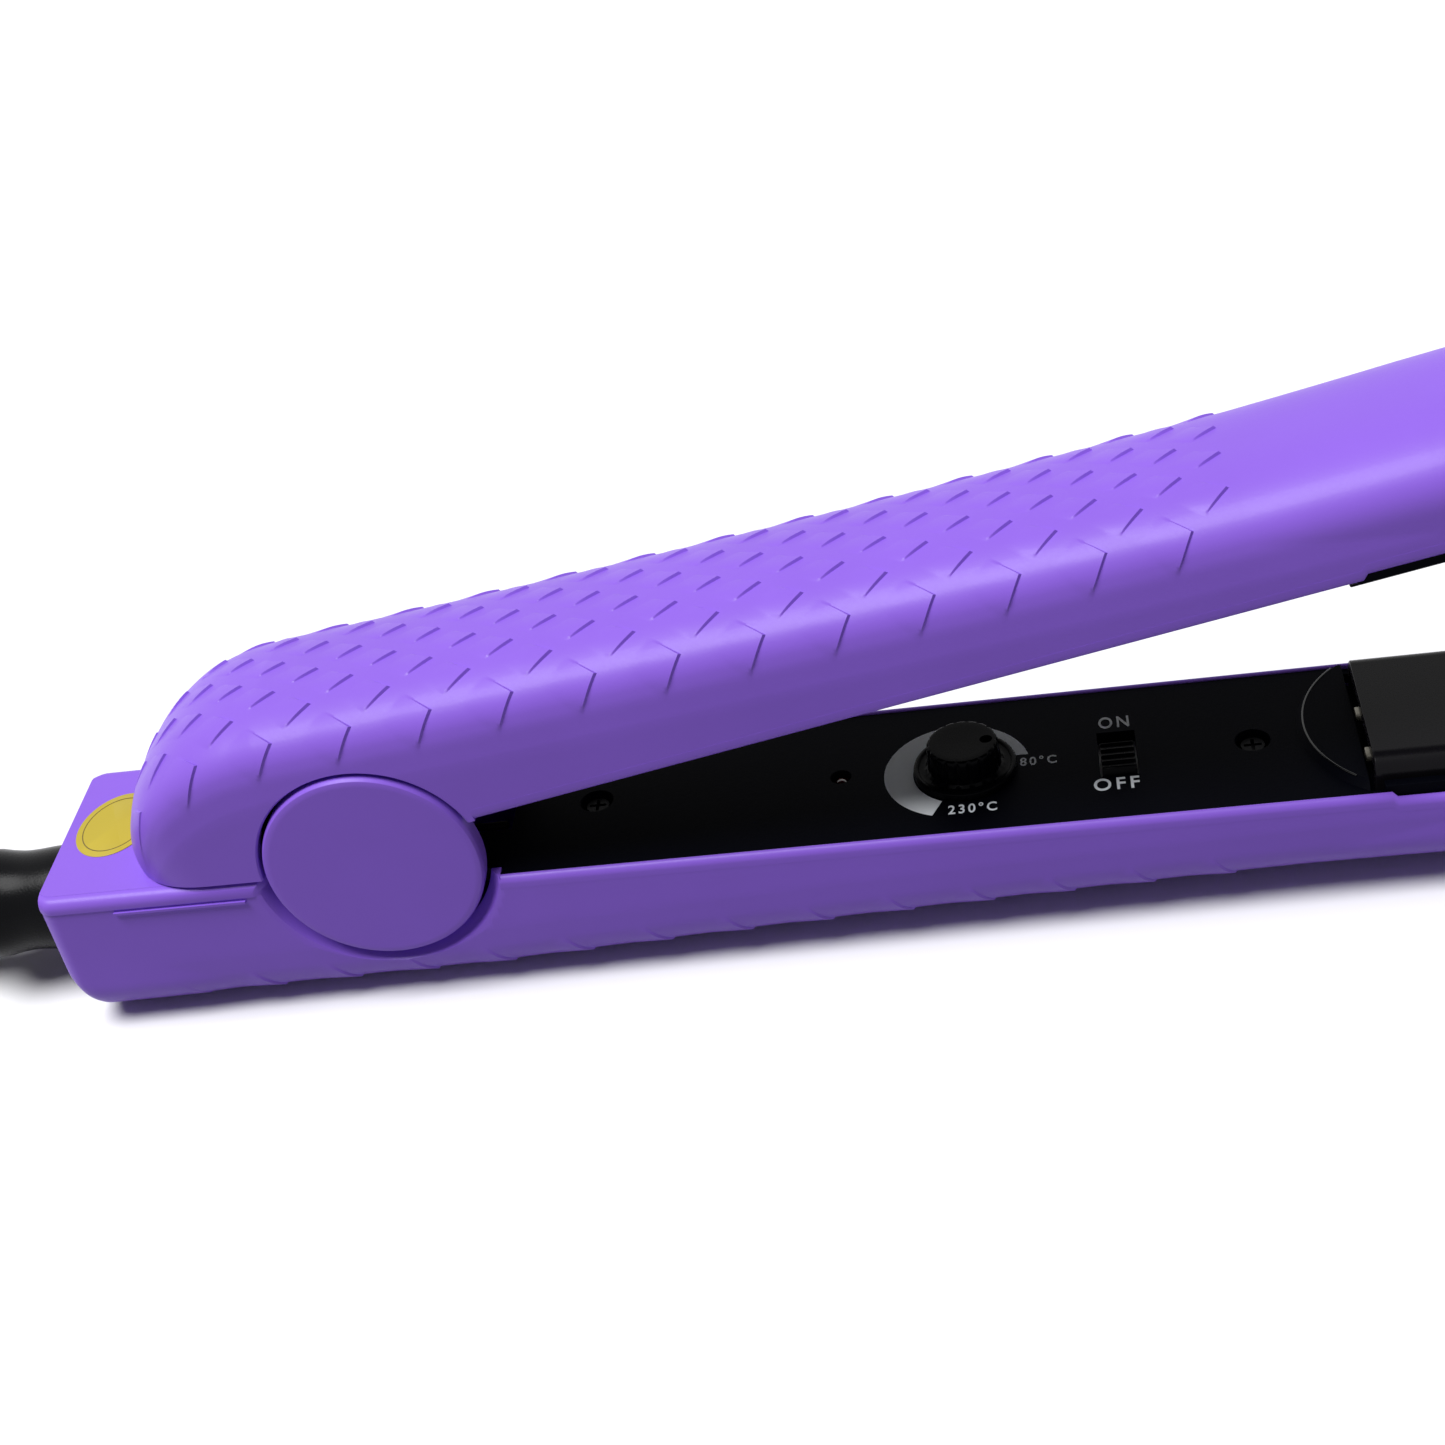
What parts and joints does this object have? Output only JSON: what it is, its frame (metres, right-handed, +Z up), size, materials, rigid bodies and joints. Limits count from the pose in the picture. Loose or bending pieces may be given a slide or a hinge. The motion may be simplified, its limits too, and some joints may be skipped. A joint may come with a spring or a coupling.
{
  "type": "hair straightener",
  "caption": "Hair straightener lying open: hinged purple arms, floating heater plates, temperature dial, slide switch and swivel cord tied in a hank and flat mains plug.",
  "frame": {"origin": "on the surface it lies on, straight below the hinge axis, midway across the arms", "axes": "+X along the arms towards the tips, +Y across the arms towards the side that the picture doesn't show, +Z up"},
  "size_m": [0.471, 0.0602, 0.0802],
  "materials": {
    "shell": "purple, satin gloss, moulded scale pattern",
    "black_plastic": "fine matte",
    "grey_plastic": "matte",
    "board": "green circuit board",
    "lamp": "dark red lens",
    "steel": "plated",
    "label": "yellow sticker",
    "pads": "silicone",
    "leads": "silicone sleeve",
    "plate": "smooth dark ceramic coat on aluminium",
    "ceramic": "white ceramic",
    "cord": "matte black sheath",
    "tie": "flexible strap",
    "plug": "moulded black",
    "pins": "nickel plated"
  },
  "bodies": {
    "lower_arm": {"lower_shell": "shell", "rear_cover": "shell", "control_panel": "black_plastic", "lower_plate_frame": "black_plastic", "circuit_board": "board", "potentiometer": "grey_plastic", "switch_body": "grey_plastic", "power_led": "lamp", "panel_screws": "steel", "hinge_pin": "steel", "torsion_spring": "steel", "near_disc_cap": "shell", "far_disc_cap": "shell", "round_label": "label", "lower_plate_pads": "pads", "heater_leads": "leads", "cord_lead": "cord", "cord_hank": "cord", "cord_tail": "cord", "cord_tie": "tie", "plug_body": "plug", "plug_pins": "pins"},
    "upper_arm": {"upper_shell": "shell", "upper_inner_cover": "black_plastic", "tail_cover": "black_plastic", "upper_plate_frame": "black_plastic", "cover_screws": "steel", "upper_plate_pads": "pads"},
    "lower_plate": {"lower_heater_plate": "plate", "lower_heater_element": "ceramic"},
    "upper_plate": {"upper_heater_plate": "plate", "upper_heater_element": "ceramic"},
    "dial": {"temperature_knob": "black_plastic", "potentiometer_shaft": "steel"},
    "power_switch": {"switch_slider": "black_plastic"},
    "cord_swivel": {"strain_relief": "cord"}
  },
  "joints": [
    {"name": "arm_hinge", "type": "hinge", "parent": "lower_arm", "child": "upper_arm", "pos_m": [0, 0, 0.02439], "axis": [0, 1, 0], "range_deg": [0, 11.1], "stiffness_Nm_per_rad": 0.8, "springref_deg": -28.65, "deforming": ["torsion_spring"]},
    {"name": "lower_plate_float", "type": "slide", "parent": "lower_arm", "child": "lower_plate", "axis": [-0.0218, 0, -0.9998], "range_m": [0, 0.0008], "stiffness_N_per_m": 3000, "springref_m": -0.001, "deforming": ["lower_plate_pads"]},
    {"name": "upper_plate_float", "type": "slide", "parent": "upper_arm", "child": "upper_plate", "axis": [-0.1711, 0, 0.9853], "range_m": [0, 0.0008], "stiffness_N_per_m": 3000, "springref_m": -0.001, "deforming": ["upper_plate_pads"]},
    {"name": "temperature_dial", "type": "hinge", "parent": "lower_arm", "child": "dial", "pos_m": [0.08099, -0.0008, 0.01823], "axis": [0.0218, 0, 0.9998], "range_deg": [0, 250]},
    {"name": "power_slide", "type": "slide", "parent": "lower_arm", "child": "power_switch", "axis": [0, 1, 0], "range_m": [0, 0.0034]},
    {"name": "cord_turn", "type": "hinge", "parent": "lower_arm", "child": "cord_swivel", "pos_m": [-0.05026, 0, 0.01309], "axis": [-0.9998, 0, 0.0218], "continuous": true}
  ]
}
